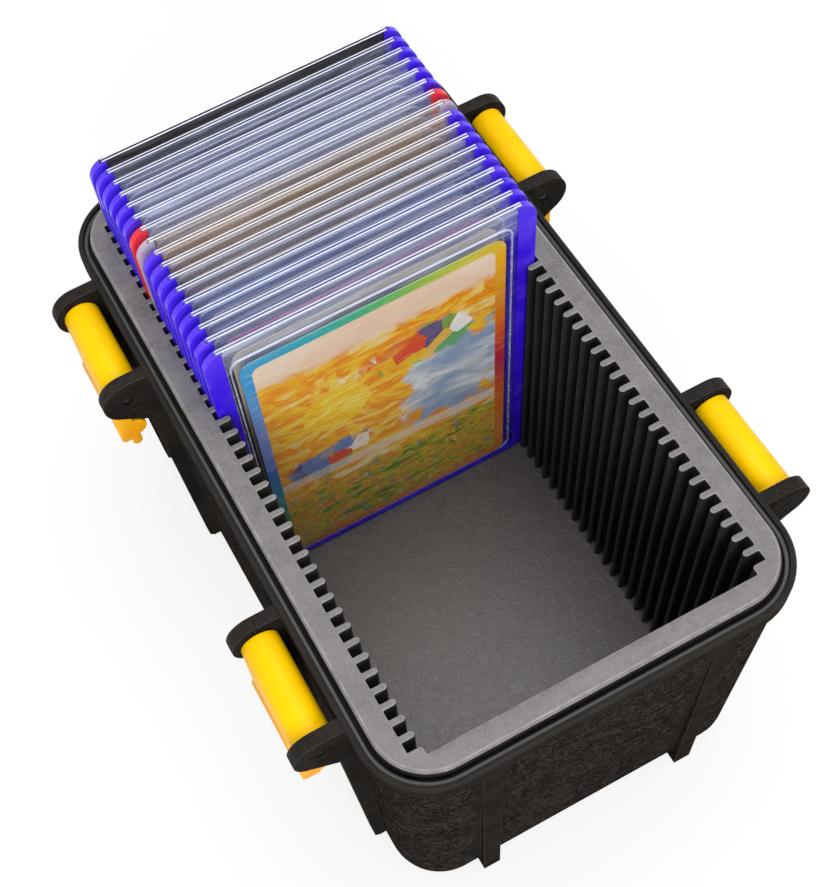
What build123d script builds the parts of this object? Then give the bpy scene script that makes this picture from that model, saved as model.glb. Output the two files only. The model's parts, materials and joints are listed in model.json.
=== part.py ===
from build123d import *
import math
import os

# Millimetres. X runs across the case, Y to its rear, Z up from its underside.

# Card and the rigid clear holder it slides into
card_width = 63.0
card_height = 88.0
card_thick = 0.3
card_clip = 1.4
pocket_thick = 0.44
pocket_slack = 1.9
loader_wall = 0.28
loader_hem = 0.5
loader_top_corner = 0.8

# Bumper frame round the clear holder
holder_count = 17
bumper_half_width = 38.4
bumper_height = 97.9
bumper_rest_gap = 0.3
bumper_rail = 4.4
bumper_lip = 0.25
bumper_foot = 2.2
bumper_top_corner = 4.0
bumper_foot_corner = 2.5
channel_depth = 1.4
channel_slack = 0.05

# Slot tray
slot_clearance = 0.6
slot_side_gap = 0.8
slot_depth = 3.1
fin_thick = 1.4
fin_tip = 0.45
deck_height = 81.6
deck_half_length = 77.9
deck_side_land = 4.9
deck_end_land = 4.7
deck_corner = 12.0
deck_thick = 4.0
deck_edge = 0.5
tray_floor = 1.3
tray_wall = 1.4
tray_corner = 5.0
tray_stand = 0.3

# Case shell
case_floor = 2.4
case_draft = 1.35
underside_round = 5.0
ledge_gap = 0.8
ledge_bearing = 1.5
well_corner = 6.5
well_draft = 0.9
lip_width = 1.2
rim_depth = 4.0
rim_edge = 0.4
rim_overhang = 1.3
rim_below_deck = 1.6

# Seal in its groove inside the lip
seal_width = 1.0
seal_height = 1.2
seal_slack = 0.05
seal_below_rim = 0.6

# Ribs on the short walls
end_rib_x = 26.0
end_rib_width = 4.2
end_rib_inset = 1.0

# Latches, their ears and pins
latch_y = 46.0
pin_from_rim = 5.6
pin_drop = 8.4
pin_radius = 1.2
pin_seat = 0.02
pin_running = 0.08
pin_recess = 0.4
ear_radius = 5.9
ear_thick = 3.0
ear_gap = 24.0
ear_heel_from_rim = 2.3
ear_heel_drop = 18.2
side_rib_inset = 0.5
rib_foot = 1.2
latch_side_gap = 0.3
barrel_radius = 4.2
latch_drop = 19.4
hook_proud = 0.4
hook_rise = 4.0
hook_height = 3.0
hook_bevel = 0.8
plate_thick = 3.6
lobe_radius = 2.8
lobe_up = 3.9
tab_width = 17.0
tab_length = 7.6
tab_root = 2.4
tab_thick = 2.4
tab_set_in = 0.8
tab_bevel = 0.8

# Sizes that follow from those above
loader_thick = pocket_thick + 2 * loader_wall
bumper_thick = loader_thick + 2 * (channel_slack + bumper_lip)
slot_width = bumper_thick + slot_clearance
slot_pitch = slot_width + fin_thick
slot_reach = bumper_half_width + slot_side_gap
fin_reach = slot_reach - slot_depth
bay_half_length = deck_half_length - deck_end_land
slot_count = int(2 * bay_half_length / slot_pitch)
comb_half = slot_count * slot_pitch / 2
deck_half_width = slot_reach + deck_side_land
groove_width = seal_width + 2 * seal_slack
deck_to_rim = ledge_gap + groove_width + lip_width
rim_half_width = deck_half_width + deck_to_rim
rim_half_length = deck_half_length + deck_to_rim
rim_corner = deck_corner + deck_to_rim
case_half_width = rim_half_width - rim_overhang
case_half_length = rim_half_length - rim_overhang
case_corner = rim_corner - rim_overhang
well_half_width = deck_half_width - ledge_bearing
well_half_length = deck_half_length - ledge_bearing
rim_height = deck_height - rim_below_deck
rim_low = rim_height - rim_depth
ledge_height = deck_height - deck_thick
seal_top = rim_height - seal_below_rim
seal_seat = seal_top - seal_height
tray_base = case_floor + tray_stand + tray_floor
end_rib_out = rim_half_length - end_rib_inset
pin_out = rim_half_width + pin_from_rim
pin_height = deck_height - pin_drop
bumper_base = tray_base + bumper_rest_gap
loader_base = bumper_base + bumper_foot - channel_depth + channel_slack
holder_top = bumper_base + bumper_height
side_names = {-1: "left", 1: "right"}
end_names = {-1: "front", 1: "rear"}


def upright(y):
    """Plane whose X and Y lie along world X and Z, drawn through y and facing the front."""
    return Plane(origin=(0, y, 0), x_dir=(1, 0, 0), z_dir=(0, -1, 0))


def slot_centre(number):
    """Y of a slot, counted from 1 at the rear."""
    return (slot_count / 2 + 0.5 - number) * slot_pitch


def ear_places():
    """Side of each of the eight ears and the Y of its rear face."""
    return [
        (side, end * latch_y + face * (ear_gap + ear_thick) / 2 + ear_thick / 2)
        for side in side_names
        for end in end_names
        for face in (-1, 1)
    ]


def make_case_shell():
    root_x = well_half_width - underside_round
    root_y = well_half_length - underside_round
    heel_x = rim_half_width + ear_heel_from_rim
    heel_z = deck_height - ear_heel_drop
    foot_x = rim_half_width - side_rib_inset
    lip_x = rim_half_width - lip_width
    with BuildPart() as case_shell:
        with BuildSketch(Plane.XY.offset(rim_low)):
            RectangleRounded(2 * case_half_width, 2 * case_half_length, case_corner)
        extrude(amount=rim_low, dir=(0, 0, -1), taper=case_draft)
        fillet(case_shell.edges().group_by(Axis.Z)[0], underside_round)
        with BuildSketch(Plane.XY.offset(rim_low)):
            RectangleRounded(2 * rim_half_width, 2 * rim_half_length, rim_corner)
        extrude(amount=rim_depth)
        chamfer(case_shell.edges().group_by(Axis.Z)[-1], rim_edge)
        # Short-wall ribs, upright where the wall leans in
        for end in end_names:
            with BuildSketch(Plane.XY):
                with GridLocations(2 * end_rib_x, 0, 2, 1):
                    with Locations((0, end * (root_y + end_rib_out) / 2)):
                        Rectangle(end_rib_width, end_rib_out - root_y)
            extrude(amount=rim_low)
        # Ears and the ribs that run on below them
        for side, y in ear_places():
            with BuildSketch(upright(y)):
                with BuildLine():
                    Polyline(
                        (side * root_x, ledge_height),
                        (side * lip_x, pin_height + ear_radius),
                        (side * heel_x, heel_z),
                        (side * foot_x, rib_foot),
                        (side * (foot_x - rib_foot), 0),
                        (side * root_x, 0),
                        close=True,
                    )
                make_face()
            extrude(amount=ear_thick)
            with BuildSketch(upright(y)):
                with BuildLine():
                    Polyline(
                        (side * lip_x, pin_height + ear_radius),
                        (side * pin_out, pin_height + ear_radius),
                        (
                            side * (pin_out + ear_radius * math.sin(math.radians(45))),
                            pin_height - ear_radius * math.sin(math.radians(45)),
                        ),
                        (side * heel_x, heel_z),
                        close=True,
                    )
                make_face()
                with Locations((side * pin_out, pin_height)):
                    Circle(ear_radius)
            extrude(amount=ear_thick)
        # Bores for the latch pins
        for side, y in ear_places():
            with BuildSketch(upright(y)):
                with Locations((side * pin_out, pin_height)):
                    Circle(pin_radius + pin_seat)
            extrude(amount=ear_thick, mode=Mode.SUBTRACT)
        # Hollow: seal groove, ledge under the deck, then the well for the tray
        for width, base in ((groove_width, seal_seat), (0, ledge_height)):
            with BuildSketch(Plane.XY.offset(base)):
                RectangleRounded(
                    2 * (deck_half_width + ledge_gap + width),
                    2 * (deck_half_length + ledge_gap + width),
                    deck_corner + ledge_gap + width,
                )
            extrude(amount=deck_height - base, mode=Mode.SUBTRACT)
        with BuildSketch(Plane.XY.offset(ledge_height)):
            RectangleRounded(2 * well_half_width, 2 * well_half_length, well_corner)
        extrude(
            amount=ledge_height - case_floor,
            dir=(0, 0, -1),
            taper=well_draft,
            mode=Mode.SUBTRACT,
        )
    return case_shell


def make_slot_tray():
    with BuildPart() as slot_tray:
        with BuildSketch(Plane.XY.offset(tray_base - tray_floor)):
            RectangleRounded(
                2 * (slot_reach + tray_wall), 2 * (bay_half_length + tray_wall), tray_corner
            )
        extrude(amount=deck_height - tray_base + tray_floor)
        with BuildSketch(Plane.XY.offset(ledge_height)):
            RectangleRounded(2 * deck_half_width, 2 * deck_half_length, deck_corner)
        extrude(amount=deck_thick)
        chamfer(slot_tray.edges().group_by(Axis.Z)[-1], deck_edge)
        # Bay and comb slots in one cut, which leaves the fins
        with BuildSketch(Plane.XY.offset(tray_base)) as well:
            Rectangle(2 * fin_reach, 2 * bay_half_length)
            with GridLocations(0, slot_pitch, 1, slot_count):
                Rectangle(2 * slot_reach, slot_width)
            tips = [
                corner
                for corner in well.vertices()
                if abs(abs(corner.X) - fin_reach) < 0.01 and abs(corner.Y) < comb_half
            ]
            chamfer(tips, fin_tip)
        extrude(amount=deck_height - tray_base, mode=Mode.SUBTRACT)
    return slot_tray


def make_gasket():
    inner = ledge_gap + seal_slack
    with BuildPart() as gasket:
        with BuildSketch(Plane.XY.offset(seal_seat)):
            RectangleRounded(
                2 * (deck_half_width + inner + seal_width),
                2 * (deck_half_length + inner + seal_width),
                deck_corner + inner + seal_width,
            )
            RectangleRounded(
                2 * (deck_half_width + inner),
                2 * (deck_half_length + inner),
                deck_corner + inner,
                mode=Mode.SUBTRACT,
            )
        extrude(amount=seal_height)
    return gasket


def from_pin(side, away, up):
    """Point in an upright plane, measured outward and upward from a latch pin."""
    return (side * (pin_out + away), pin_height + up)


def make_latch(side, end):
    width = ear_gap - 2 * latch_side_gap
    front_face = upright(end * latch_y + width / 2)
    hook_out = barrel_radius + hook_proud
    plate_in = barrel_radius - plate_thick
    with BuildPart() as latch:
        # Barrel, plate, the hook that stands out at its end and the lobe behind it
        with BuildSketch(front_face):
            with BuildLine():
                Polyline(
                    from_pin(side, barrel_radius, 0),
                    from_pin(side, barrel_radius, hook_rise - latch_drop),
                    from_pin(side, hook_out, hook_height - latch_drop),
                    from_pin(side, hook_out, hook_bevel - latch_drop),
                    from_pin(side, hook_out - hook_bevel, -latch_drop),
                    from_pin(side, plate_in, -latch_drop),
                    from_pin(side, plate_in, 0),
                    close=True,
                )
            make_face()
            with Locations(from_pin(side, 0, 0)):
                Circle(barrel_radius)
            with Locations(from_pin(side, plate_in, lobe_up - latch_drop)):
                Circle(lobe_radius)
        extrude(amount=width)
        # Finger tab
        tab_middle = plate_in - tab_set_in + tab_thick / 2
        with BuildSketch(upright(end * latch_y + tab_width / 2)) as tab:
            with Locations(from_pin(side, tab_middle, (tab_root - tab_length) / 2 - latch_drop)):
                Rectangle(tab_thick, tab_root + tab_length)
            chamfer(tab.vertices().group_by(Axis.Y)[0], tab_bevel)
        extrude(amount=tab_width)
        # Running bore on the pin
        with BuildSketch(front_face):
            with Locations(from_pin(side, 0, 0)):
                Circle(pin_radius + pin_running)
        extrude(amount=width, mode=Mode.SUBTRACT)
    return latch


def make_latch_pins():
    length = ear_gap + 2 * ear_thick - 2 * pin_recess
    with BuildPart() as latch_pins:
        for end in end_names:
            with BuildSketch(upright(end * latch_y + length / 2)):
                with Locations((-pin_out, pin_height), (pin_out, pin_height)):
                    Circle(pin_radius)
            extrude(amount=length)
    return latch_pins


def make_bumper(y):
    middle = (bumper_base + holder_top) / 2
    window_half = bumper_half_width - bumper_rail
    with BuildPart() as bumper:
        with BuildSketch(upright(y + bumper_thick / 2)) as outline:
            with Locations((0, middle)):
                Rectangle(2 * bumper_half_width, bumper_height)
            chamfer(outline.vertices().group_by(Axis.Y)[-1], bumper_top_corner)
            chamfer(outline.vertices().group_by(Axis.Y)[0], bumper_foot_corner)
            with Locations((0, middle + bumper_foot)):
                Rectangle(2 * window_half, bumper_height, mode=Mode.SUBTRACT)
        extrude(amount=bumper_thick)
        # Channel that takes the edges of the rigid holder
        with BuildSketch(upright(y + loader_thick / 2 + channel_slack)):
            with Locations((0, middle + bumper_foot - channel_depth)):
                Rectangle(2 * (window_half + channel_depth), bumper_height)
        extrude(amount=loader_thick + 2 * channel_slack, mode=Mode.SUBTRACT)
    return bumper


def make_toploader(y):
    half = bumper_half_width - bumper_rail + channel_depth - channel_slack
    middle = (loader_base + holder_top) / 2
    height = holder_top - loader_base
    with BuildPart() as toploader:
        with BuildSketch(upright(y + loader_thick / 2)) as outline:
            with Locations((0, middle)):
                Rectangle(2 * half, height)
            chamfer(outline.vertices().group_by(Axis.Y)[-1], loader_top_corner)
        extrude(amount=loader_thick)
        # Pocket for the card, open at the top
        with BuildSketch(upright(y + pocket_thick / 2)):
            with Locations((0, middle + loader_hem)):
                Rectangle(card_width + 2 * pocket_slack, height)
        extrude(amount=pocket_thick, mode=Mode.SUBTRACT)
    return toploader


def make_card(y):
    with BuildPart() as card:
        with BuildSketch(upright(y + card_thick / 2)) as outline:
            with Locations((0, loader_base + loader_hem + card_height / 2)):
                Rectangle(card_width, card_height)
            chamfer(outline.vertices(), card_clip)
        extrude(amount=card_thick)
    return card


def write(name, made):
    made.part.label = name
    export_step(made.part, f"parts/{name}.step")


os.makedirs("parts", exist_ok=True)
write("case_shell", make_case_shell())
write("slot_tray", make_slot_tray())
write("gasket", make_gasket())
write("latch_pins", make_latch_pins())
for side, side_name in side_names.items():
    for end, end_name in end_names.items():
        write(f"latch_{side_name}_{end_name}", make_latch(side, end))
for number in range(1, holder_count + 1):
    place = slot_centre(number)
    write(f"bumper_{number:02d}", make_bumper(place))
    write(f"toploader_{number:02d}", make_toploader(place))
    write(f"card_{number:02d}", make_card(place))
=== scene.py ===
import bpy
import bmesh
import json
import math
from functools import partial
from mathutils import Matrix, Vector


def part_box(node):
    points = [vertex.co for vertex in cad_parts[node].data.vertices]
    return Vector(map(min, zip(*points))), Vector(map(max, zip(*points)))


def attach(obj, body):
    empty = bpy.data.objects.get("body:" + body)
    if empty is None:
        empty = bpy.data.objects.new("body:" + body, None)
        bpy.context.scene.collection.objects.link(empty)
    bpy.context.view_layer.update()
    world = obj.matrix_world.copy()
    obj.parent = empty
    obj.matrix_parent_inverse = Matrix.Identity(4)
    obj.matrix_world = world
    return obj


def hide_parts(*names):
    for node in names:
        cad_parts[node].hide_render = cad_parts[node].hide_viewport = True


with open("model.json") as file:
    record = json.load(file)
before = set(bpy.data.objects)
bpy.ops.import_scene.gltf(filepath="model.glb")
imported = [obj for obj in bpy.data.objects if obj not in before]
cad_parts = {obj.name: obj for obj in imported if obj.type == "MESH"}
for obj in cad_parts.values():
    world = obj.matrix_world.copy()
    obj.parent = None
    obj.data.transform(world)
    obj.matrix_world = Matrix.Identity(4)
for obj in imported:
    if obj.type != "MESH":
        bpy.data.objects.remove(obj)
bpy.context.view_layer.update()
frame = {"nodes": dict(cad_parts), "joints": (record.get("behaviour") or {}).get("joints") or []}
nodes = frame["nodes"]
mm = 0.001


# Shared helpers

def linear(hexColour):
    # sRGB hex to the linear values that Cycles works in
    out = []
    for i in (1, 3, 5):
        v = int(hexColour[i:i + 2], 16) / 255
        out.append(v / 12.92 if v <= 0.04045 else ((v + 0.055) / 1.055) ** 2.4)
    return (*out, 1)


def connect(tree, node, inputs):
    # Inputs go by socket name, or in a list over the sockets in use.
    # A socket as a value becomes a link, and so does a node, from its first output in use.
    if isinstance(inputs, dict):
        pairs = [(node.inputs[key], value) for key, value in inputs.items()]
    else:
        pairs = zip([socket for socket in node.inputs if socket.enabled], inputs)
    for socket, value in pairs:
        if isinstance(value, bpy.types.Node):
            value = next(out for out in value.outputs if out.enabled)
        if isinstance(value, bpy.types.NodeSocket):
            tree.links.new(value, socket)
        else:
            socket.default_value = value


def addNode(tree, kind, inputs=(), **settings):
    # One node with its settings and links; a short kind such as Math is a ShaderNodeMath
    node = tree.nodes.new(kind if "Node" in kind else "ShaderNode" + kind)
    for key, value in settings.items():
        setattr(node, key, value)
    connect(tree, node, inputs)
    return node


smooth = {"interpolation_type": "SMOOTHSTEP"}  # for a Map Range that eases in and out
inColour = {"data_type": "RGBA"}  # for a Mix of two colours


def setStops(node, stops, interpolation="LINEAR"):
    # Fills a colour ramp with pairs of place and sRGB hex
    node.color_ramp.interpolation = interpolation
    elements = node.color_ramp.elements
    while len(elements) < len(stops):
        elements.new(1.0)
    for element, (place, colour) in zip(elements, stops):
        element.position = place
        element.color = linear(colour)
    return node


def feed(material, inputs):
    # Values and links for a material's Principled shader
    tree = material.node_tree
    connect(tree, tree.nodes["Principled BSDF"], inputs)


def newMaterial(name, values):
    # A Principled material, its node adder, and Object coordinates in millimetres
    material = bpy.data.materials.new(name)
    material.use_nodes = True
    feed(material, values)
    add = partial(addNode, material.node_tree)
    coordinates = add("TexCoord").outputs["Object"]
    return material, add, add("Mapping", {"Vector": coordinates, "Scale": (1000, 1000, 1000)})


def distanceFrom(add, value, middle):
    return add("Math", [add("Math", [value, middle], operation="SUBTRACT")], operation="ABSOLUTE")


meshLook = {"weldMm": 0.002, "flatDegrees": 0.6, "sharpDegrees": 30, "levelMm2": 1500}


def bakeModifiers(piece):
    graph = bpy.context.evaluated_depsgraph_get()
    made = bpy.data.meshes.new_from_object(
        piece.evaluated_get(graph), preserve_all_data_layers=True, depsgraph=graph
    )
    piece.modifiers.clear()
    piece.data = made


def addBevel(piece, widthMm, segments, byWeight=False, edgeSlot=-1):
    bevel = piece.modifiers.new("edges", "BEVEL")
    bevel.material = edgeSlot
    bevel.width = widthMm * mm
    bevel.segments = segments
    bevel.limit_method = "WEIGHT" if byWeight else "ANGLE"
    bevel.angle_limit = math.radians(meshLook["sharpDegrees"])
    bevel.use_clamp_overlap = True
    bevel.harden_normals = True
    bevel.miter_outer = "MITER_ARC"


def levelNormals(mesh):
    # Large flat faces are shaded by their own normal right up to their rounded edges
    normals = [corner.vector.copy() for corner in mesh.corner_normals]
    for face in mesh.polygons:
        if face.area / mm ** 2 > meshLook["levelMm2"]:
            for corner in face.loop_indices:
                normals[corner] = face.normal
    mesh.normals_split_custom_set(normals)


def roundedCopy(node, widthMm, segments, materials, weightAt=None, edgeSlot=-1):
    # A finished copy of a CAD node: triangles merged to flat faces, sharp edges rounded
    flat, sharp = (math.radians(meshLook[key]) for key in ("flatDegrees", "sharpDegrees"))
    body = bmesh.new()
    body.from_mesh(nodes[node].data)
    bmesh.ops.remove_doubles(body, verts=body.verts, dist=meshLook["weldMm"] * mm)
    bmesh.ops.dissolve_limit(body, angle_limit=flat, verts=body.verts, edges=body.edges)
    for face in body.faces:
        face.smooth = True
    weight = body.edges.layers.float.new("bevel_weight_edge")
    for edge in body.edges:
        if len(edge.link_faces) == 2 and edge.calc_face_angle(0) > sharp:
            middle = (edge.verts[0].co + edge.verts[1].co) / 2 / mm
            edge[weight] = weightAt(middle) if weightAt else 1.0
    mesh = bpy.data.meshes.new(node + "Finished")
    body.to_mesh(mesh)
    body.free()
    piece = bpy.data.objects.new(node + "Finished", mesh)
    bpy.context.scene.collection.objects.link(piece)
    for material in materials:
        mesh.materials.append(material)
    addBevel(piece, widthMm, segments, byWeight=True, edgeSlot=edgeSlot)
    bakeModifiers(piece)
    levelNormals(piece.data)
    return piece


# Latch pins, from the hinges of the frame: edges of their bores are rounded less

pins = {
    joint["child"]: Vector(joint["pos_m"]) / mm
    for joint in frame["joints"] if joint["type"] == "hinge"
}
boreReach = 1.6


def nearPin(middle, pin):
    return math.hypot(middle.x - pin.x, middle.z - pin.z) < boreReach


# Camera, at the photograph's viewing angle

cameraPlace = {
    "imageWidth": 839, "imageHeight": 887, "sensorMm": 36,
    "focalPixels": 1429.1, "centreX": 335.0, "centreY": 527.6,
    "yaw": 16.88, "pitch": 62.89, "roll": -12.08,
    "placeMm": (-66.9, -147.8, 335.5), "clip": (0.01, 60),
}


def makeCamera(c):
    yaw, pitch, roll = (math.radians(c[key]) for key in ("yaw", "pitch", "roll"))
    forward = Vector((
        math.sin(yaw) * math.cos(pitch), math.cos(yaw) * math.cos(pitch), -math.sin(pitch)
    ))
    level = Vector((math.cos(yaw), -math.sin(yaw), 0))
    above = level.cross(forward)
    right = math.cos(roll) * level + math.sin(roll) * above
    up = -math.sin(roll) * level + math.cos(roll) * above
    longSide = max(c["imageWidth"], c["imageHeight"])
    data = bpy.data.cameras.new("camera")
    data.sensor_width = c["sensorMm"]
    data.lens = c["sensorMm"] * c["focalPixels"] / longSide
    data.shift_x = (c["imageWidth"] / 2 - c["centreX"]) / longSide
    data.shift_y = (c["centreY"] - c["imageHeight"] / 2) / longSide
    data.clip_start, data.clip_end = c["clip"]
    camera = bpy.data.objects.new("camera", data)
    turned = Matrix((right, up, -forward)).transposed().to_4x4()
    turned.translation = Vector(c["placeMm"]) * mm
    camera.matrix_world = turned
    bpy.context.scene.collection.objects.link(camera)
    bpy.context.scene.camera = camera


makeCamera(cameraPlace)
print("camera placed")


# Studio: pale floor, white surroundings, one broad softbox overhead and one in front

studio = {
    "worldOnObject": 0.5, "floorLift": 0.8,
    "softboxSize": 0.9, "softboxPlace": (0.14, 0.10, 1.15), "softboxWatts": 8.2,
    "fillSize": 0.8, "fillPlace": (-0.35, -1.15, 0.75), "fillWatts": 11.5,
    "floorSize": 30.0, "floorColour": "#f4f4f4",
}


def softbox(name, size, place, watts):
    data = bpy.data.lights.new(name, "AREA")
    data.shape = "SQUARE"
    data.size = size
    data.energy = watts
    lamp = bpy.data.objects.new(name, data)
    lamp.location = place
    lamp.rotation_euler = (-Vector(place)).to_track_quat("-Z", "Y").to_euler()
    bpy.context.scene.collection.objects.link(lamp)


def seenDirectly(add):
    # 1 for what the camera sees, also in gloss or through glass
    path = add("LightPath").outputs
    seen = add("Math", [path["Is Camera Ray"], path["Is Glossy Ray"]], operation="MAXIMUM")
    return add("Math", [seen, path["Is Transmission Ray"]], operation="MAXIMUM")


def makeStudio(s):
    world = bpy.data.worlds.new("whiteRoom")
    bpy.context.scene.world = world
    world.use_nodes = True
    tree = world.node_tree
    add = partial(addNode, tree)
    strength = add("MapRange", {
        "Value": seenDirectly(add), "To Min": s["worldOnObject"], "To Max": 1.0,
    })
    connect(tree, tree.nodes["Background"], {"Color": (1, 1, 1, 1), "Strength": strength})
    softbox("overhead", s["softboxSize"], s["softboxPlace"], s["softboxWatts"])
    softbox("fill", s["fillSize"], s["fillPlace"], s["fillWatts"])

    # White paper sweep: matt, lifted to white for the camera, with the object's shadow kept
    paper = bpy.data.materials.new("matt white paper")
    paper.use_nodes = True
    paper.node_tree.nodes.clear()
    add = partial(addNode, paper.node_tree)
    matt = add("BsdfDiffuse", {"Color": linear(s["floorColour"])})
    glow = add("Emission", {"Color": (1, 1, 1, 1), "Strength": 1.0})
    lift = add("Math", [seenDirectly(add), s["floorLift"]], operation="MULTIPLY")
    add("OutputMaterial", {"Surface": add("MixShader", [lift, matt, glow])})
    mesh = bpy.data.meshes.new("floor")
    half = s["floorSize"] / 2
    corners = [(-half, -half, 0), (half, -half, 0), (half, half, 0), (-half, half, 0)]
    mesh.from_pydata(corners, [], [(0, 1, 2, 3)])
    mesh.materials.append(paper)
    floor = bpy.data.objects.new("floor", mesh)
    bpy.context.scene.collection.objects.link(floor)


makeStudio(studio)
bpy.context.scene.view_settings.view_transform = "Standard"
print("studio lit")


# Case shell: black polypropylene copolymer, injection moulded in an etched mould

shellLook = {
    # edge: painted highlight colour of the rounded edges
    # pale: paler tone of the plain bands, the random wear and the grain's crests, whose grooves keep
    # painted shade
    "colour": "#1a1817", "pale": "#38332f", "edge": "#3a3634",
    "roughness": 0.55, "edgeRoughness": 0.4,
    # walls seen at a glancing angle would shine white, so only upward faces have gloss
    "wallGloss": 0.0, "topGloss": 0.06, "topTilt": 0.3,
    # grain drawn coarser than a real mould's, so that it shows
    "crinkleMm": 1.995, "fineMm": 0.42, "grainDepthMm": 0.14, "stippleMm": 0.35, "wearMm": 9.0,
    "edgeMm": 0.65, "edgeToneMm": 3.0,
    "earEdge": 1.0, "otherEdge": 0.42, "boreEdge": 0.18,  # shares of edgeMm
    "endRib": (26.0, 2.1), "sideRibs": [(32.5, 1.5), (59.5, 1.5)],  # middle and half width
    "plainBand": 1.5,
    "grainTop": 72.5, "earFrom": 47.5, "earGrain": 0.3, "earBottom": 50, "earReach": 20,
    "seamX": 52.4, "seamHalf": 0.22, "seamFrom": 76,
}


def sparkGrain(add, point, look):
    # Crinkled leather grain of an etched mould: ridges where warped noise crosses its middle
    wave = add("TexNoise", {
        "Vector": point, "Scale": 1 / look["crinkleMm"], "Detail": 1.5, "Roughness": 0.5,
        "Distortion": 1.3,
    })
    ridge = add("MapRange", [distanceFrom(add, wave, 0.5), 0.0, 0.13], **smooth)
    fine = add("TexNoise", {
        "Vector": point, "Scale": 1 / look["fineMm"], "Detail": 3.0, "Roughness": 0.6,
        "Distortion": 0.6,
    })
    fine = add("Math", [fine, 0.4], operation="MULTIPLY")
    return add("Math", [ridge, 0.8, fine], operation="MULTIPLY_ADD")


def grainedPanels(add, axes, look):
    # 1 on the grained panels, 0 on the plain bands by the ribs and under the rim
    across, along = (add("Math", [axis], operation="ABSOLUTE") for axis in axes[:2])
    top = look["grainTop"]
    panel = add("MapRange", [axes[2], top + 0.6, top], **smooth)
    ribs = [(across, look["endRib"])] + [(along, rib) for rib in look["sideRibs"]]
    for axis, (middle, half) in ribs:
        edge = half + look["plainBand"]
        away = distanceFrom(add, axis, middle)
        clear = add("MapRange", [away, edge - 0.3, edge + 0.3], **smooth)
        panel = add("Math", [panel, clear], operation="MULTIPLY")
    earFrom = look["earFrom"]
    ears = add("MapRange", [across, earFrom, earFrom + 0.7, 0.0, look["earGrain"]], **smooth)
    return add("Math", [panel, ears], operation="MAXIMUM")


def shellMaterial(name, look, gloss):
    # The mould's grain breaks up the sheen; painted shade leaves its grooves darker than its crests
    roughness = look["roughness"]
    material, add, point = newMaterial(name, {
        "Roughness": roughness, "IOR": 1.49, "Specular IOR Level": gloss,
    })
    axes = add("SeparateXYZ", [point]).outputs
    panel = grainedPanels(add, axes, look)
    grain = sparkGrain(add, point, look)
    stipple = add("TexNoise", {
        "Vector": point, "Scale": 1 / look["stippleMm"], "Detail": 2.0, "Roughness": 0.5,
    })
    stipple = add("Math", [stipple, 0.12], operation="MULTIPLY")
    # parting line of the mould along the tops of the ears
    seam = distanceFrom(add, add("Math", [axes[0]], operation="ABSOLUTE"), look["seamX"])
    seam = add("MapRange", [seam, 0.0, look["seamHalf"]], **smooth)
    seamTop = add("MapRange", [axes[2], look["seamFrom"], look["seamFrom"] + 1, 0.0, 0.8], **smooth)
    height = add("Math", [grain, panel, stipple], operation="MULTIPLY_ADD")
    height = add("Math", [seam, seamTop, height], operation="MULTIPLY_ADD")
    relief = add("Bump", {
        "Strength": 0.75, "Distance": look["grainDepthMm"] * mm, "Height": height,
    })
    wear = add("TexNoise", {
        "Vector": point, "Scale": 1 / look["wearMm"], "Detail": 4.0, "Roughness": 0.6,
    })
    # painted shade: colour follows the grain's height, darker in its grooves
    crest = add("MapRange", [grain, 0.25, 1.25], **smooth)
    plain = add("Math", [panel, -0.3, 0.3], operation="MULTIPLY_ADD")
    shade = add("Math", [crest, panel, plain], operation="MULTIPLY_ADD")
    worn = add("MapRange", [wear, 0.3, 0.7, -0.15, 0.15], **smooth)
    shade = add("Math", [shade, worn], operation="ADD")
    feed(material, {
        "Base Color": add("Mix", [shade, linear(look["colour"]), linear(look["pale"])], **inColour),
        "Roughness": add("MapRange", [wear, 0.3, 0.75, roughness - 0.05, roughness + 0.08], **smooth),
        "Normal": relief,
    })
    return material


def paintedHighlightEdge(name, look):
    # Painted highlight on the moulded edges, paler and smoother: the light line round rim, ears and ribs
    roughness = look["edgeRoughness"]
    material, add, point = newMaterial(name, {
        "Roughness": roughness, "IOR": 1.49, "Specular IOR Level": 0.3,
    })
    tone = add("TexNoise", {
        "Vector": point, "Scale": 1 / look["edgeToneMm"], "Detail": 4.0, "Roughness": 0.6,
    })
    full = linear(look["edge"])
    dull = (*(0.6 * value for value in full[:3]), 1)
    # painted highlight, its strength varied at random along the edges
    highlightTone = add("MapRange", [tone, 0.3, 0.7], **smooth)
    feed(material, {
        "Base Color": add("Mix", [highlightTone, dull, full], **inColour),
        "Roughness": add("MapRange", [tone, 0.3, 0.7, roughness - 0.05, roughness + 0.08], **smooth),
    })
    return material


def finishShell(look):
    def weightAt(middle):
        for pin in pins.values():
            if nearPin(middle, pin) and abs(middle.y - pin.y) < look["earReach"]:
                return look["boreEdge"]
        onEar = abs(middle.x) > look["earFrom"] + 0.3 and middle.z > look["earBottom"]
        return look["earEdge"] if onEar else look["otherEdge"]

    wall, edge, top = range(3)
    skins = [
        shellMaterial("grained polypropylene", look, look["wallGloss"]),
        paintedHighlightEdge("polypropylene edge with painted highlight", look),
        shellMaterial("smooth polypropylene", look, look["topGloss"]),
    ]
    # the bevel faces take the edge slot with its painted highlight
    shell = roundedCopy("case_shell", look["edgeMm"], 3, skins, weightAt, edgeSlot=edge)
    for face in shell.data.polygons:
        if face.material_index == wall and face.normal.z > look["topTilt"]:
            face.material_index = top
    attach(shell, "case")
    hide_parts("case_shell")


finishShell(shellLook)
print("case shell finished")


# Slot tray: dark grey polypropylene, injection moulded, with stippled deck and grained floor

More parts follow.
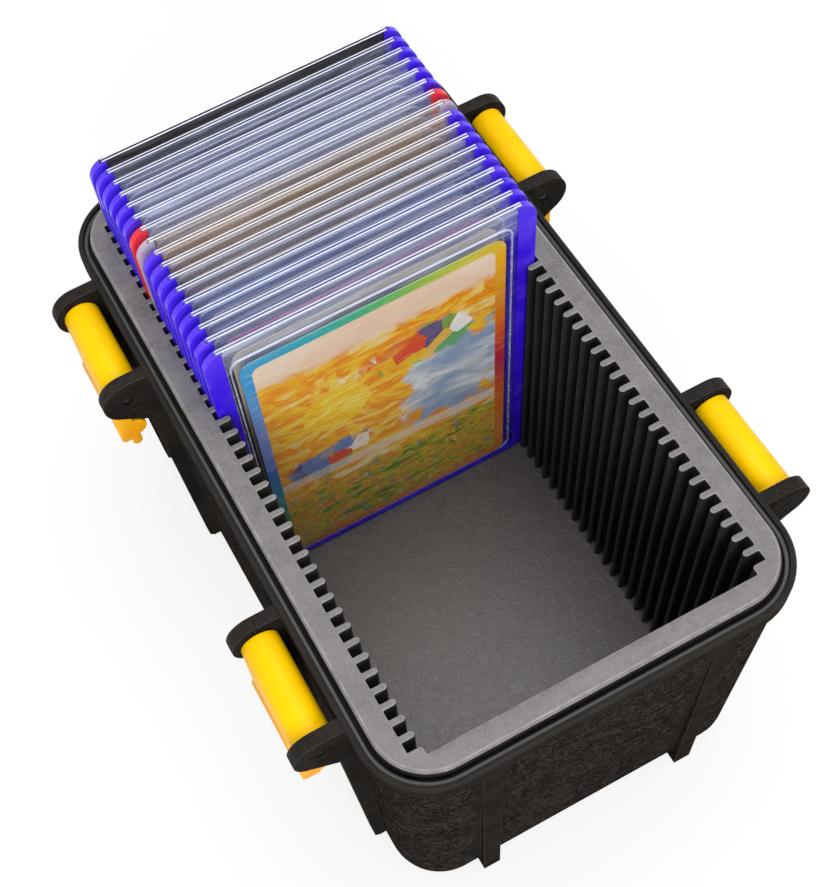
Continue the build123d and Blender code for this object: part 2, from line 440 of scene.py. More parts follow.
trayLook = {
    # edge: painted highlight colour of the deck's rounded edges
    "deck": "#535050", "deckPale": "#787372", "edge": "#979290",
    # wall and wallShadePale: painted shade, near black, for the slot walls and fins below the deck
    "floor": "#595554", "floorPale": "#66615f", "wall": "#1f1d1d", "wallShadePale": "#2a2827",
    "roughness": 0.44, "edgeRoughness": 0.35, "edgeMm": 0.22, "edgeToneMm": 3.0,
    # stipple and swirl drawn coarser than a real mould's, so that they show
    "stippleMm": 0.62, "stippleDepthMm": 0.09, "swirlMm": 2.3, "swirlDepthMm": 0.14, "cloudMm": 6.0,
    "floorTop": 4.6, "floorTilt": 0.7, "deckDepth": 0.9,
}


def trayMaterial(name, look, colour, pale, swirl):
    # Spark-eroded stipple that dulls the sheen, with a softer leather swirl on the floor
    roughness = look["roughness"]
    material, add, point = newMaterial(name, {
        "IOR": 1.49, "Roughness": roughness, "Specular IOR Level": 0.5,
    })
    stipple = add("TexNoise", {
        "Vector": point, "Scale": 1 / look["stippleMm"], "Detail": 2.0, "Roughness": 0.6,
    })
    cloud = add("TexNoise", {
        "Vector": point, "Scale": 1 / look["cloudMm"], "Detail": 5.0, "Roughness": 0.65,
        "Distortion": 0.4,
    })
    if swirl:
        wave = add("TexNoise", {
            "Vector": point, "Scale": 1 / look["swirlMm"], "Detail": 4.0, "Roughness": 0.55,
            "Distortion": 0.9,
        })
        leather = add("MapRange", [distanceFrom(add, wave, 0.5), 0.0, 0.12], **smooth)
        fine = add("Math", [stipple, 0.4], operation="MULTIPLY")
        height = add("Math", [leather, 0.45, fine], operation="MULTIPLY_ADD")
        strength, depthMm = 0.55, look["swirlDepthMm"]
        # painted shade: darker in the swirl's grooves, paler on its crests
        tone = add("Math", [leather, 0.25], operation="MULTIPLY")
        cloud = add("Math", [cloud, 0.7, tone], operation="MULTIPLY_ADD")
    else:
        height, strength, depthMm = stipple, 0.6, look["stippleDepthMm"]
        # painted shade: darker in the stipple's dips, paler on its bumps
        tone = add("Math", [stipple, 0.5], operation="MULTIPLY")
        cloud = add("Math", [cloud, 0.6, tone], operation="MULTIPLY_ADD")
    shade = add("MapRange", [cloud, 0.3, 0.75], **smooth)
    feed(material, {
        "Base Color": add("Mix", [shade, linear(colour), linear(pale)], **inColour),
        "Roughness": add("MapRange", [cloud, 0.3, 0.8, roughness - 0.06, roughness + 0.1], **smooth),
        "Normal": add("Bump", {"Strength": strength, "Distance": depthMm * mm, "Height": height}),
    })
    return material


def finishTray(look):
    floor, wall, edge = 1, 2, 3
    skins = [
        trayMaterial("stippled polypropylene", look, look["deck"], look["deckPale"], False),
        trayMaterial("leather-grained polypropylene", look, look["floor"], look["floorPale"], True),
        trayMaterial("polypropylene with painted slot shade", look, look["wall"], look["wallShadePale"], False),
        paintedHighlightEdge("deck edge with painted highlight", look),
    ]
    # the bevel faces take the edge slot with its painted highlight
    tray = roundedCopy("slot_tray", look["edgeMm"], 2, skins, edgeSlot=edge)
    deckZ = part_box("slot_tray")[1][2] / mm
    for face in tray.data.polygons:
        height = face.center.z / mm
        if height < look["floorTop"] and face.normal.z > look["floorTilt"]:
            face.material_index = floor
        # painted shade: every face below the deck, its edges too, takes the dark wall material
        elif height < deckZ - look["deckDepth"]:
            face.material_index = wall
    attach(tray, "case")
    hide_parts("slot_tray")


finishTray(trayLook)
print("slot tray finished")


# Seal and latch pins

trimLook = {
    "seal": "#2c2a2a", "sealPale": "#3d3b3b",
    "sealEdgeMm": 0.32, "sealGrainMm": 0.3, "sealToneMm": 2.5,
    "pin": "#1c1c1d", "pinPale": "#3a3a3c", "pinEdgeMm": 0.15, "pinToneMm": 0.8,
}


def finishTrim(look):
    # Extruded rubber cord: matt, with a skin grain that leaves a soft sheen along its crown
    rubber, add, point = newMaterial("extruded rubber", {"Roughness": 0.55, "IOR": 1.52})
    tone = add("TexNoise", {
        "Vector": point, "Scale": 1 / look["sealToneMm"], "Detail": 4.0, "Roughness": 0.5,
    })
    grain = add("TexNoise", {
        "Vector": point, "Scale": 1 / look["sealGrainMm"], "Detail": 2.0, "Roughness": 0.5,
    })
    feed(rubber, {
        "Base Color": add("Mix", [tone, linear(look["seal"]), linear(look["sealPale"])], **inColour),
        "Normal": add("Bump", {"Strength": 0.3, "Distance": 0.03 * mm, "Height": grain}),
    })
    seal = roundedCopy("gasket", look["sealEdgeMm"], 3, [rubber])
    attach(seal, "case")
    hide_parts("gasket")

    # Blackened steel: a dark, slightly patchy oxide over bright metal
    steel, add, point = newMaterial("blackened steel", {"Roughness": 0.38, "Metallic": 0.85})
    tone = add("TexNoise", {
        "Vector": point, "Scale": 1 / look["pinToneMm"], "Detail": 3.0, "Roughness": 0.5,
    })
    feed(steel, {
        "Base Color": add("Mix", [tone, linear(look["pin"]), linear(look["pinPale"])], **inColour),
        "Roughness": add("MapRange", [tone, 0.3, 0.7, 0.3, 0.48], **smooth),
    })
    latchPins = roundedCopy("latch_pins", look["pinEdgeMm"], 2, [steel])
    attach(latchPins, "case")
    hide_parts("latch_pins")


finishTrim(trimLook)
print("seal and pins finished")


# Latches: yellow ABS, dyed right through and injection moulded

latchLook = {
    # crown: painted light on the top; side and low: painted shade, deeper amber lower down, low also in
    # random patches
    "crown": "#ffca00", "side": "#ffbe00", "low": "#fba600",
    "roughness": 0.42, "edgeMm": 0.6, "boreEdge": 0.15, "toneMm": 5.0, "rippleMm": 0.6,
    "crownAt": 76.0, "sideAt": 70.5, "lowFrom": 63.0, "lowAt": 55.0,
}


def latchMaterial(look):
    # Satin gloss; bright yellow on the crown as painted light, and deeper amber towards the hook and
    # finger tab as painted shade, with random amber patches
    roughness = look["roughness"]
    material, add, point = newMaterial("glossy yellow ABS", {
        "Roughness": roughness, "IOR": 1.53, "Specular IOR Level": 0.1,
    })
    height = add("SeparateXYZ", [point]).outputs[2]
    tone = add("TexNoise", {
        "Vector": point, "Scale": 1 / look["toneMm"], "Detail": 3.0, "Roughness": 0.5,
    })
    ripple = add("TexNoise", {
        "Vector": point, "Scale": 1 / look["rippleMm"], "Detail": 2.0, "Roughness": 0.5,
    })
    # painted light and painted shade by height: brightest at the crown, amber below
    crown = add("MapRange", [height, look["sideAt"], look["crownAt"]], **smooth)
    low = add("MapRange", [height, look["lowFrom"], look["lowAt"]], **smooth)
    patch = add("MapRange", [tone, 0.35, 0.8, 0.0, 0.18], **smooth)
    colour = add("Mix", [crown, linear(look["side"]), linear(look["crown"])], **inColour)
    for share in (low, patch):
        colour = add("Mix", [share, colour, linear(look["low"])], **inColour)
    feed(material, {
        "Base Color": colour,
        "Roughness": add("MapRange", [tone, 0.3, 0.7, roughness - 0.05, roughness + 0.06], **smooth),
        "Normal": add("Bump", {"Strength": 0.15, "Distance": 0.02 * mm, "Height": ripple}),
    })
    return material


def finishLatches(look):
    material = latchMaterial(look)
    for body, pin in pins.items():
        def weightAt(middle):
            return look["boreEdge"] if nearPin(middle, pin) else 1.0
        name = body.removesuffix("_body")
        latch = roundedCopy(name, look["edgeMm"], 3, [material], weightAt)
        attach(latch, body)
        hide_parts(name)


finishLatches(latchLook)
print("latches finished")


# Holders: one node tree makes every bumper, clear holder, sleeve weld and card

plateInputs = [
    ("Width", 70.0), ("Foot", 4.3), ("Top", 102.2), ("Thickness", 1.0), ("Place", 0.0),
    ("Corner", 1.0),
    # a window and a channel that lie far below the plate cut nothing
    ("Window Width", 10.0), ("Window Foot", -300.0), ("Window Top", -290.0),
    ("Window Thickness", 5.0), ("Window Corner", 0.3),
    ("Channel Width", 10.0), ("Channel Foot", -300.0), ("Channel Top", -290.0),
    ("Channel Thickness", 1.0),
]
cornerPoints = 6


def roundedPlate(add, given, prefix, corner):
    # Upright plate in the X-Z plane with rounded corners, thick along Y, all in millimetres
    width, foot, top, thickness = (
        given[prefix + name] for name in ("Width", "Foot", "Top", "Thickness")
    )
    middle = add("Math", [add("Math", [top, foot], operation="ADD"), 0.5], operation="MULTIPLY")
    outline = add("GeometryNodeCurvePrimitiveQuadrilateral", {
        "Width": width, "Height": add("Math", [top, foot], operation="SUBTRACT"),
    })
    rounded = add("GeometryNodeFilletCurve", {
        "Curve": outline, "Count": cornerPoints, "Radius": corner,
    }, mode="POLY")
    back, front = (
        add("CombineXYZ", {"Z": add("Math", [thickness, share], operation="MULTIPLY")})
        for share in (-0.5, 0.5)
    )
    swept = add("GeometryNodeCurveToMesh", {
        "Curve": add("GeometryNodeCurvePrimitiveLine", {"Start": back, "End": front}),
        "Profile Curve": rounded, "Fill Caps": True,
    })
    return add("GeometryNodeTransform", {
        "Geometry": swept, "Rotation": (math.radians(90), 0, 0),
        "Translation": add("CombineXYZ", {"Y": given["Place"], "Z": middle}),
    })


def makePlateTree():
    tree = bpy.data.node_groups.new("holderPlate", "GeometryNodeTree")
    for name, value in plateInputs:
        socket = tree.interface.new_socket(name, in_out="INPUT", socket_type="NodeSocketFloat")
        socket.default_value = value
    tree.interface.new_socket("Material", in_out="INPUT", socket_type="NodeSocketMaterial")
    tree.interface.new_socket("Geometry", in_out="OUTPUT", socket_type="NodeSocketGeometry")
    add = partial(addNode, tree)
    given = add("NodeGroupInput").outputs
    body = roundedPlate(add, given, "", given["Corner"])
    window = roundedPlate(add, given, "Window ", given["Window Corner"])
    channel = roundedPlate(add, given, "Channel ", given["Window Corner"])
    cut = add("GeometryNodeMeshBoolean", {"Mesh 1": body, "Mesh 2": window},
              operation="DIFFERENCE", solver="EXACT")
    connect(tree, cut, {"Mesh 2": channel})
    inMetres = add("GeometryNodeTransform", {"Geometry": cut, "Scale": (mm, mm, mm)})
    real = add("GeometryNodeRealizeInstances", {"Geometry": inMetres})
    finished = add("GeometryNodeSetMaterial", {"Geometry": real, "Material": given["Material"]})
    add("NodeGroupOutput", {"Geometry": finished})
    return tree


plateTree = makePlateTree()


def makePlate(name, body, sizes, material, edgeMm=0.0):
    piece = bpy.data.objects.new(name, bpy.data.meshes.new(name))
    bpy.context.scene.collection.objects.link(piece)
    modifier = piece.modifiers.new("plate", "NODES")
    modifier.node_group = plateTree
    values = {**sizes, "Material": material}
    for item in plateTree.interface.items_tree:
        if item.in_out == "INPUT" and item.name in values:
            modifier[item.identifier] = values[item.name]
    if edgeMm:
        addBevel(piece, edgeMm, 2)
    bakeModifiers(piece)
    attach(piece, body)
    return piece


holderLook = {
    "count": 17, "smokedNumber": 1, "redNumber": 7, "clearNumber": 8, "frontNumber": 17,
    "pitchMm": 3.6, "slackMm": 0.05, "openEnd": 20,  # openEnd: how far a cut runs past the top
    # violetEdge, redEdge: paler colours for the painted highlight towards the top and for the random
    # streaks
    "violet": "#3d16f2", "violetEdge": "#7048ff", "violetAlpha": 0.9,
    "red": "#e0061e", "redEdge": "#ff4a58", "redAlpha": 0.92,
    "clearBumper": "#b9bed6", "clearAlpha": 0.45, "dyeMm": 7.0, "paintedHighlightTopMm": 16,
    "bumperCorner": 4.6, "bumperEdgeMm": 0.15, "railMm": 4.4, "footMm": 2.2,
    # paneEdge: painted highlight colour of the cut edges at the mouth, the sleeve's rim and the clear
    # bumper's top, also the scuffs' paleness and the sleeve's tint
    # alphas: over the card, and above it
    "pane": "#b4bbdc", "paneEdge": "#eef1ff", "paneAlphas": (0.015, 0.2), "scuffPale": 0.5,
    "smoke": "#37343a", "smokeAlphas": (0.5, 0.85), "smokeScuff": 0.08, "tintShare": 0.6,
    "scuffMm": 1.1, "scuffStretch": 20, "paneCorner": 0.8,
    "mouthWidth": 66.8, "mouthDepth": 1.2, "mouthGap": 0.44,
    "weldAlphas": (0.3, 0.6), "sleeveThick": 0.4, "sleeveOver": 1.7, "sleeveRise": 2.6,
    "sleeveFoot": 0.6, "sleeveRim": 0.35, "sleeveCorners": (2.6, 2.3),
    "cardCorner": 3.0,
}


def tintedBumper(look, name, colour, edge, alpha, topZ):
    # Translucent injection-moulded polypropylene: deep dye with random paler streaks, and a painted
    # highlight that pales it towards the top
    material, add, point = newMaterial(name, {
        "Roughness": 0.24, "IOR": 1.49, "Alpha": alpha, "Specular IOR Level": 0.35,
    })
    height = add("SeparateXYZ", [point]).outputs[2]
    tone = add("TexNoise", {
        "Vector": point, "Scale": 1 / look["dyeMm"], "Detail": 3.0, "Roughness": 0.5,
        "Distortion": 0.5,
    })
    # painted highlight: paler towards the top of the bumper
    high = add("MapRange", [height, topZ - look["paintedHighlightTopMm"], topZ, 0.0, 0.4], **smooth)
    streak = add("MapRange", [tone, 0.42, 0.72, 0.0, 0.35], **smooth)
    pale = add("Math", [high, streak], operation="ADD")
    feed(material, {
        "Base Color": add("Mix", [pale, linear(colour), linear(edge)], **inColour),
        "Roughness": add("MapRange", [tone, 0.3, 0.7, 0.16, 0.32], **smooth),
    })
    return material


def clearPane(name, look, topZ, cardTop, alphas, wallMm=0.0):
    # Extruded clear PVC: nearly invisible over the card, hazier above it, with long scuffs
    # and a painted highlight along the cut edges at the mouth
    material, add, point = newMaterial(name, {
        "Roughness": 0.12, "IOR": 1.53, "Specular IOR Level": 0.2,
    })
    axes = add("SeparateXYZ", [point]).outputs
    pitch = look["pitchMm"]
    layer = add("Math", [add("Math", [axes[1], pitch], operation="DIVIDE")], operation="FRACT")
    offMiddle = add("Math", [distanceFrom(add, layer, 0.5), pitch], operation="MULTIPLY")
    # painted highlight: a pale, nearly opaque line along the top cut edges
    atTop = add("MapRange", [axes[2], topZ - 0.15, topZ - 0.05], **smooth)
    inWall = add("MapRange", [offMiddle, wallMm, wallMm + 0.04], **smooth)
    mouth = add("Math", [atTop, inWall], operation="MULTIPLY")
    stretched = add("Mapping", {"Vector": point, "Scale": (1 / look["scuffStretch"], 1, 1)})
    streak = add("TexNoise", {
        "Vector": stretched, "Scale": 1 / look["scuffMm"], "Detail": 4.0, "Roughness": 0.65,
        "Distortion": 0.3,
    })
    scuff = add("MapRange", [streak, 0.48, 0.66], **smooth)
    tint = add("Attribute", attribute_name="paneTint").outputs["Color"]
    body = add("Mix", [look["tintShare"], linear(look["pane"]), tint], **inColour)
    pale = add("Math", [scuff, look["scuffPale"]], operation="MULTIPLY")
    pale = add("Math", [mouth, pale], operation="MAXIMUM")
    alpha = add("MapRange", [axes[2], cardTop - 1.0, cardTop + 1.5, *alphas], **smooth)
    scuffed = add("Math", [scuff, 1.3, 1.0], operation="MULTIPLY_ADD")
    alpha = add("Math", [alpha, scuffed], operation="MULTIPLY")
    bright = add("Math", [mouth, 0.85], operation="MULTIPLY")
    alpha = add("Math", [alpha, bright], operation="MAXIMUM")
    # clear plastic lets most of the light through to the cards behind it
    shadow = add("LightPath").outputs["Is Shadow Ray"]
    dimmed = add("MapRange", [shadow, 0.0, 1.0, 1.0, 0.25], **smooth)
    feed(material, {
        "Base Color": add("Mix", [pale, body, linear(look["paneEdge"])], **inColour),
        "Alpha": add("Math", [alpha, dimmed], operation="MULTIPLY"),
        "Roughness": add("MapRange", [streak, 0.4, 0.8, 0.08, 0.3], **smooth),
    })
    return material


cardLook = {
    # for each card from the rear: its border, its picture and the haze of its holder above it
    "tints": [
        ("#2a2a30", "#3a3838", "#37343a"), ("#34343c", "#4d5060", "#2c2c36"),
        ("#c4c9dc", "#8c89ae", "#7a82a6"), ("#e2e6f4", "#98a1c6", "#a09fc2"),
        ("#f2f4fd", "#a8b4da", "#b8bede"), ("#c2cdf0", "#8194c4", "#bac1e2"),
        ("#ffe28c", "#b09c78", "#b0b6d0"), ("#ffcc50", "#c09a4a", "#d4b478"),
        ("#ffc844", "#b08c44", "#dcb052"), ("#e0caa0", "#8a7a68", "#c2a878"),
        ("#eed3a0", "#86705a", "#a8a0a4"), ("#9db6f0", "#4d6cb0", "#a39aa0"),
        ("#e6d8ba", "#6f84b4", "#8ea0d4"), ("#7c9cea", "#a7b3d2", "#7c90d2"),
        ("#d060b0", "#7d88ac", "#8a92b8"), ("#d8cca4", "#8894ae", "#8c8fac"),
        ("#7f9be0", "#f2b21c", "#9aa0b8"),
    ],
    "borderMm": 2.7, "back": "#28408c", "edge": "#e8e6e0", "blurMm": 11.0, "patchMm": 5.0,
}


def printedCard(look, centreZ, halfWidth, halfHeight):
    # Coated card stock: a satin sheen over a plain border and a soft blurred offset print
    material, add, point = newMaterial("coated card stock", {
        "Roughness": 0.35, "IOR": 1.5, "Coat Weight": 0.25, "Coat Roughness": 0.15,
    })
    axes = add("SeparateXYZ", [point]).outputs
    border, picture = (
        add("Attribute", attribute_name=name).outputs["Color"]
        for name in ("borderTint", "pictureTint")
    )
    framed = []
    for axis, middle, half in ((axes[0], 0.0, halfWidth), (axes[2], centreZ, halfHeight)):
        edge = half - look["borderMm"]
        away = distanceFrom(add, axis, middle)
        framed.append(add("MapRange", [away, edge + 0.2, edge - 0.2], **smooth))
    inside = add("Math", framed, operation="MULTIPLY")
    blur = add("TexNoise", {
        "Vector": point, "Scale": 1 / look["blurMm"], "Detail": 4.0, "Roughness": 0.6,
        "Distortion": 1.0,
    })
    patch = add("TexNoise", {
        "Vector": point, "Scale": 1 / look["patchMm"], "Detail": 3.0, "Roughness": 0.6,
        "Distortion": 1.4,
    })
    blurred = add("MapRange", [blur, 0.42, 0.62], **smooth)
    light = add("MapRange", [patch, 0.52, 0.7, 0.0, 0.5], **smooth)
    art = add("Mix", [blurred, picture, border], **inColour)
    art = add("Mix", [light, art, linear(look["edge"])], **inColour)
    face = add("Mix", [inside, border, art], **inColour)
    reverse = add("Mix", [inside, linear(look["edge"]), linear(look["back"])], **inColour)
    facing = add("SeparateXYZ", [add("NewGeometry").outputs["Normal"]]).outputs[1]
    isBack = add("MapRange", [facing, 0.4, 0.6], **smooth)
    feed(material, {
        "Base Color": add("Mix", [isBack, face, reverse], **inColour),
        "Roughness": add("MapRange", [blur, 0.3, 0.7, 0.28, 0.42], **smooth),
    })
    return material


frontPrint = {
    # border colours by angle, from the card's left edge anticlockwise as seen from the front
    "border": [
        (0.0, "#2f6fd0"), (0.06, "#2a93b8"), (0.11, "#38a868"), (0.15, "#c9a72c"),
        (0.19, "#ef8a1e"), (0.30, "#f0a018"), (0.37, "#ee8c1c"), (0.43, "#e8641c"),
        (0.49, "#c02a4a"), (0.53, "#d8301f"), (0.58, "#ef7d14"), (0.64, "#f2b414"),
        (0.68, "#c8cc30"), (0.74, "#5cc060"), (0.80, "#28b0b4"), (0.86, "#3d9fdc"),
        (0.91, "#7f9be0"), (0.96, "#6f8fe0"),
    ],
    "warm": [
        (0.0, "#ffd832"), (0.3, "#fcb414"), (0.52, "#f68612"), (0.7, "#ffcb34"),
        (0.88, "#fbd88a"), (1.0, "#fff0c0"),
    ],
    "meadow": [
        (0.0, "#4d7a1e"), (0.3, "#a9b428"), (0.5, "#e9c92a"), (0.68, "#f2a31e"),
        (0.84, "#c8571e"), (1.0, "#f4e08a"),
    ],
    "sky": [
        (0.0, "#8fa6c8"), (0.35, "#b9c3d2"), (0.6, "#d5dae2"), (0.85, "#eef0f2"), (1.0, "#f8f8f6"),
    ],
    "facets": [
        (0.0, "#e8352a"), (0.18, "#f6c21f"), (0.34, "#2f7fd0"), (0.5, "#ffffff"),
        (0.64, "#57b04a"), (0.8, "#23408f"), (1.0, "#f08a1c"),
    ],
    "flowers": [
        (0.0, "#d8342a"), (0.3, "#f4f0e6"), (0.5, "#6a86c8"), (0.72, "#ffd02a"), (1.0, "#3c7a2a"),
    ],
    "sun": [(0.0, "#fdb916"), (0.5, "#ffd21e"), (1.0, "#ffec7a")],
    "banner": "#f6dcc8", "foil": "#fff8e6", "borderMm": 2.6, "cornerMm": 2.0,
    # patches: middle X and Z from the card's centre, reach along X and Z, softness
    "skyPatch": (19, 3, 15, 19, 0.2), "drifts": [(11, 21, 17, 6.5, 0.25), (-15, -7, 12, 6.5, 0.3)],
    "rayPatch": (-12, 13, 23, 21, 0.6), "sunPatch": (-12, 13, 8.5, 8.5, 0.1), "rayCount": 13,
    # brush strokes: width in millimetres, turn in degrees, stretch and wander
    "warmStrokes": (6.0, 28, 3.0, 1.2), "skyStrokes": (7.0, 10, 2.5, 0.6),
    "grassStrokes": (2.6, 62, 3.2, 1.6), "thinStrokes": (1.6, -35, 4.5, 0.8),
    "foilStrokes": (0.9, 20, 5.0, 0.4), "warpMm": 7.0, "facetMm": 4.6, "flowerMm": 3.4,
    "meadowTop": (-16, -21), "bannerFoot": (31, 34.5), "strokeZ": -12.5, "strokeTilt": 0.05,
}


def brushStrokes(add, point, widthMm, turn, stretch, wander):
    # Long streaks of noise at an angle in the card's plane
    turned = add("Mapping", {
        "Vector": point, "Rotation": (0, math.radians(turn), 0), "Scale": (1 / stretch, 1, 1),
    })
    return add("TexNoise", {
        "Vector": turned, "Scale": 1 / widthMm, "Detail": 4.0, "Roughness": 0.62,
        "Distortion": wander,
    })


def paintPatch(add, axes, patch, warp):
    # 1 inside an ellipse with a hand-painted, wavering edge
    x, z, reachX, reachZ, soft = patch
    squares = []
    for axis, middle, reach in ((axes[0], x, reachX), (axes[2], z, reachZ)):
        away = add("Math", [axis, middle], operation="SUBTRACT")
        away = add("Math", [away, reach], operation="DIVIDE")
        squares.append(add("Math", [away, 2.0], operation="POWER"))
    square = add("Math", squares, operation="ADD")
    away = add("Math", [add("Math", [square], operation="SQRT"), warp], operation="ADD")
    return add("MapRange", [away, 1.0, 1.0 - soft], **smooth)


def meadowPicture(add, local, axes, thin, look):
    # An abstract sunlit meadow, painted from the ground up in layers of mask, share and colour
    warp = add("TexNoise", {
        "Vector": local, "Scale": 1 / look["warpMm"], "Detail": 3.0, "Roughness": 0.6,
    })
    warp = add("MapRange", [warp, 0.25, 0.75, -0.28, 0.28], **smooth)

    def inColours(strokes, start, end, stops):
        return setStops(add("ValToRGB", [add("MapRange", [strokes, start, end], **smooth)]), stops)

    warm, sky, grass = (
        brushStrokes(add, local, *look[key]) for key in ("warmStrokes", "skyStrokes", "grassStrokes")
    )
    picture = inColours(warm, 0.28, 0.72, look["warm"])
    sky = inColours(sky, 0.3, 0.7, look["sky"])
    grass = inColours(grass, 0.3, 0.72, look["meadow"])
    glow = inColours(thin, 0.3, 0.7, look["sun"])
    foil = linear(look["foil"])

    # Faceted confetti in two loose drifts
    cells = add("TexVoronoi", {"Vector": local, "Scale": 1 / look["facetMm"], "Randomness": 0.9})
    cellTone = add("SeparateColor", [cells.outputs["Color"]])
    facets = setStops(add("ValToRGB", [cellTone]), look["facets"], "CONSTANT")
    drifts = [paintPatch(add, axes, patch, warp) for patch in look["drifts"]]
    drift = add("Math", drifts, operation="MAXIMUM")

    # Sun in the upper left, with painted rays
    sunX, sunZ = look["sunPatch"][:2]
    rise, run = (
        add("Math", [axis, middle], operation="SUBTRACT")
        for axis, middle in ((axes[2], sunZ), (axes[0], sunX))
    )
    spread = add("Math", [rise, run], operation="ARCTAN2")
    spokes = add("Math", [spread, look["rayCount"]], operation="MULTIPLY")
    spokes = add("MapRange", [add("Math", [spokes], operation="SINE"), 0.1, 0.5], **smooth)
    rays = add("Math", [spokes, paintPatch(add, axes, look["rayPatch"], warp)], operation="MULTIPLY")
    calmer = add("Math", [warp, 0.3], operation="MULTIPLY")

    # Flowers dotted over the meadow along the foot
    edgeZ = add("Math", [warp, 18, axes[2]], operation="MULTIPLY_ADD")
    ground = add("MapRange", [edgeZ, *look["meadowTop"]], **smooth)
    dots = add("TexVoronoi", {"Vector": local, "Scale": 1 / look["flowerMm"], "Randomness": 1.0})
    petals = add("MapRange", [dots.outputs["Distance"], 0.28, 0.18], **smooth)
    petals = add("Math", [petals, ground], operation="MULTIPLY")
    petalTone = add("SeparateColor", [dots.outputs["Color"]]).outputs[1]
    flowers = setStops(add("ValToRGB", [petalTone]), look["flowers"], "CONSTANT")

    # Pale washed band under the top edge, a pale stroke across the middle, fine foil streaks
    edgeZ = add("Math", [warp, 5, axes[2]], operation="MULTIPLY_ADD")
    wash = add("MapRange", [edgeZ, *look["bannerFoot"]], **smooth)
    tilted = add("Math", [axes[0], look["strokeTilt"], axes[2]], operation="MULTIPLY_ADD")
    stroke = add("MapRange", [distanceFrom(add, tilted, look["strokeZ"]), 2.4, 1.2], **smooth)
    fine = brushStrokes(add, local, *look["foilStrokes"])
    fine = add("MapRange", [fine, 0.55, 0.75, 0.0, 0.2], **smooth)

    layers = [
        (paintPatch(add, axes, look["skyPatch"], warp), 1.0, sky), (drift, 0.85, facets),
        (rays, 0.8, glow), (paintPatch(add, axes, look["sunPatch"], calmer), 1.0, glow),
        (ground, 1.0, grass), (petals, 0.8, flowers), (wash, 0.85, linear(look["banner"])),
        (stroke, 0.55, foil), (fine, 1.0, foil),
    ]
    for mask, share, colour in layers:
        cover = add("Math", [mask, share], operation="MULTIPLY")
        picture = add("Mix", [cover, picture, colour], **inColour)
    return picture


def frontPicture(look, centreZ, halfWidth, halfHeight):
    # Foil-laminated card stock: offset colours under a thin gloss, inside a rainbow border
    material, add, point = newMaterial("foil-printed card stock", {
        "Roughness": 0.3, "IOR": 1.5, "Coat Weight": 0.35, "Coat Roughness": 0.1,
    })
    local = add("Mapping", {"Vector": point, "Location": (0, 0, -centreZ)})
    axes = add("SeparateXYZ", [local]).outputs
    thin = brushStrokes(add, local, *look["thinStrokes"])
    picture = meadowPicture(add, local, axes, thin, look)
    angle = add("Math", [axes[2], axes[0]], operation="ARCTAN2")
    turn = add("MapRange", [angle, -math.pi, math.pi])
    rainbow = setStops(add("ValToRGB", [turn]), look["border"])
    streaks = add("MapRange", [thin, 0.5, 0.8, 0.0, 0.3], **smooth)
    rainbow = add("Mix", [streaks, rainbow, linear(look["foil"])], **inColour)

    # Rounded rectangle inside the border
    squares = []
    corner = look["cornerMm"]
    for axis, half in ((axes[0], halfWidth), (axes[2], halfHeight)):
        beyond = add("Math", [axis], operation="ABSOLUTE")
        beyond = add("Math", [beyond, half - look["borderMm"] - corner], operation="SUBTRACT")
        beyond = add("Math", [beyond, 0.0], operation="MAXIMUM")
        squares.append(add("Math", [beyond, 2.0], operation="POWER"))
    reach = add("Math", [add("Math", squares, operation="ADD")], operation="SQRT")
    inside = add("MapRange", [reach, corner + 0.12, corner - 0.12], **smooth)
    feed(material, {
        "Base Color": add("Mix", [inside, rainbow, picture], **inColour),
        "Roughness": add("MapRange", [thin, 0.3, 0.7, 0.24, 0.38], **smooth),
        "Normal": add("Bump", {"Strength": 0.12, "Distance": 0.03 * mm, "Height": thin}),
    })
    return material


def tintFaces(mesh, name, colour):
    layer = mesh.color_attributes.new(name, "FLOAT_COLOR", "CORNER")
    layer.data.foreach_set("color", linear(colour) * len(layer.data))


def boxOf(node):
    return [Vector(corner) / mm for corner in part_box(node)]


def makeBumper(look, name, body, loader, material):
    low, high = boxOf(name)
    loaderLow, loaderHigh = boxOf(loader)
    slack = look["slackMm"]
    return makePlate(name + "Finished", body, {
        "Width": 2 * high.x, "Foot": low.z, "Top": high.z, "Thickness": high.y - low.y,
        "Place": (low.y + high.y) / 2, "Corner": look["bumperCorner"],
        "Window Width": 2 * (high.x - look["railMm"]), "Window Foot": low.z + look["footMm"],
        "Window Top": high.z + look["openEnd"],
        "Channel Width": 2 * (loaderHigh.x + slack), "Channel Foot": loaderLow.z - slack,
        "Channel Top": high.z + look["openEnd"],
        "Channel Thickness": loaderHigh.y - loaderLow.y + 2 * slack,
    }, material, look["bumperEdgeMm"])


def makeLoader(look, name, body, place, material):
    # A slab with a groove at its mouth, because a render stops after a few see-through layers
    low, high = boxOf(name)
    return makePlate(name + "Finished", body, {
        "Width": 2 * high.x, "Foot": low.z, "Top": high.z, "Thickness": high.y - low.y,
        "Place": place, "Corner": look["paneCorner"],
        "Channel Width": look["mouthWidth"], "Channel Foot": high.z - look["mouthDepth"],
        "Channel Top": high.z + look["openEnd"], "Channel Thickness": look["mouthGap"],
    }, material)


def makeSleeve(look, name, body, place, foot, halfWidth, top, material):
    # The welded rim of the card's soft sleeve
    outer, inner = look["sleeveCorners"]
    rim = look["sleeveRim"]
    return makePlate(name, body, {
        "Width": 2 * halfWidth, "Foot": foot, "Top": top, "Thickness": look["sleeveThick"],
        "Place": place, "Corner": outer,
        "Window Width": 2 * (halfWidth - rim), "Window Foot": foot + rim,
        "Window Top": top - rim, "Window Corner": inner,
    }, material)


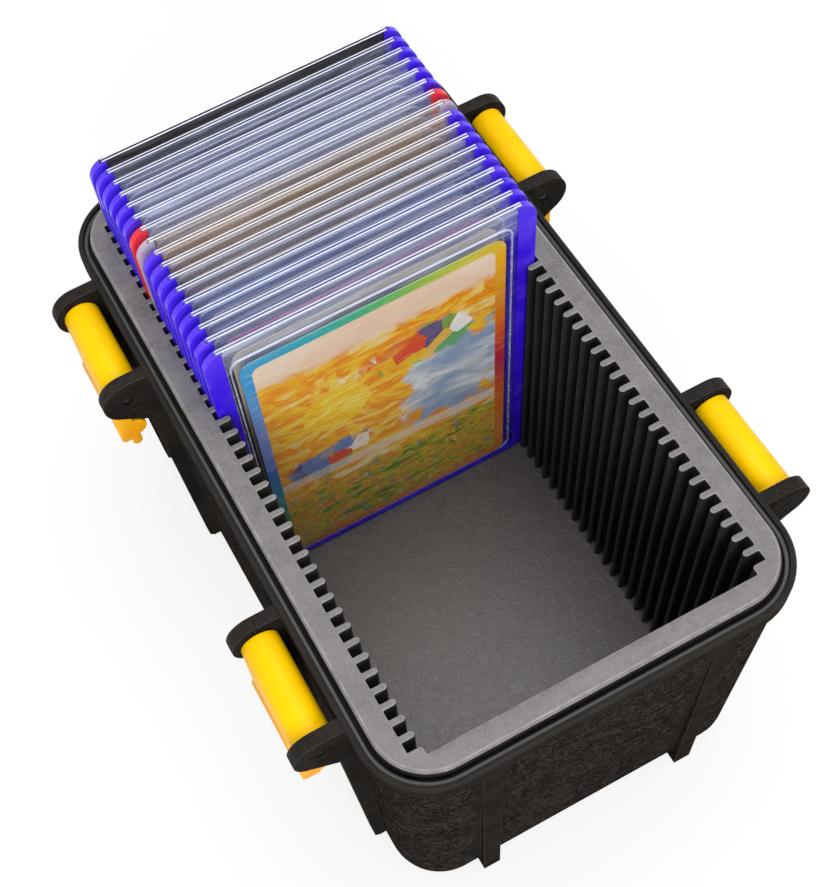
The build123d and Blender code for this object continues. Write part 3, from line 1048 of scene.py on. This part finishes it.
def makeCard(look, name, body, place, material):
    low, high = boxOf(name)
    return makePlate(name + "Finished", body, {
        "Width": 2 * high.x, "Foot": low.z, "Top": high.z, "Thickness": high.y - low.y,
        "Place": place, "Corner": look["cardCorner"],
    }, material)


def makeHolders(look, cards):
    low, high = boxOf("card_01")
    centreZ, halfWidth, halfHeight = (low.z + high.z) / 2, high.x, (high.z - low.z) / 2
    sleeveTop = high.z + look["sleeveRise"]
    topZ = boxOf("toploader_01")[1].z
    stock = printedCard(cards, centreZ, halfWidth, halfHeight)
    picture = frontPicture(frontPrint, centreZ, halfWidth, halfHeight)
    red, clear, violet = (
        tintedBumper(look, name, colour, edge, alpha, topZ) for name, colour, edge, alpha in (
            ("translucent red polypropylene", look["red"], look["redEdge"], look["redAlpha"]),
            ("clear polypropylene", look["clearBumper"], look["paneEdge"], look["clearAlpha"]),
            ("translucent violet polypropylene", look["violet"], look["violetEdge"], look["violetAlpha"]),
        )
    )
    dyes = {look["redNumber"]: red, look["clearNumber"]: clear}
    smoked = {**look, "pane": look["smoke"], "scuffPale": look["smokeScuff"]}
    wall = look["mouthGap"] / 2
    pane = clearPane("rigid clear PVC", look, topZ, high.z, look["paneAlphas"], wall)
    smoke = clearPane("rigid smoked PVC", smoked, topZ, high.z, look["smokeAlphas"], wall)
    film = clearPane("soft sleeve weld", look, sleeveTop, high.z, look["weldAlphas"])
    for number in range(1, look["count"] + 1):
        body = f"holder_{number:02d}"
        bumperName, loaderName, cardName = (
            f"{kind}_{number:02d}" for kind in ("bumper", "toploader", "card")
        )
        bumper = makeBumper(look, bumperName, body, loaderName, dyes.get(number, violet))
        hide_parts(bumperName)
        bumperLow, bumperHigh = boxOf(bumperName)
        place = (bumperLow.y + bumperHigh.y) / 2
        glazing = smoke if number == look["smokedNumber"] else pane
        loader = makeLoader(look, loaderName, body, place, glazing)
        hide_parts(loaderName)
        foot = boxOf(loaderName)[0].z + look["sleeveFoot"]
        sleeve = makeSleeve(
            look, f"sleeve_{number:02d}", body, place, foot, halfWidth + look["sleeveOver"],
            sleeveTop, film,
        )
        paper = picture if number == look["frontNumber"] else stock
        card = makeCard(look, cardName, body, place, paper)
        border, tint, haze = cards["tints"][number - 1]
        tintFaces(loader.data, "paneTint", haze)
        tintFaces(sleeve.data, "paneTint", look["paneEdge"])
        tintFaces(card.data, "borderTint", border)
        tintFaces(card.data, "pictureTint", tint)
        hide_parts(cardName)


makeHolders(holderLook, cardLook)
print("holders finished")
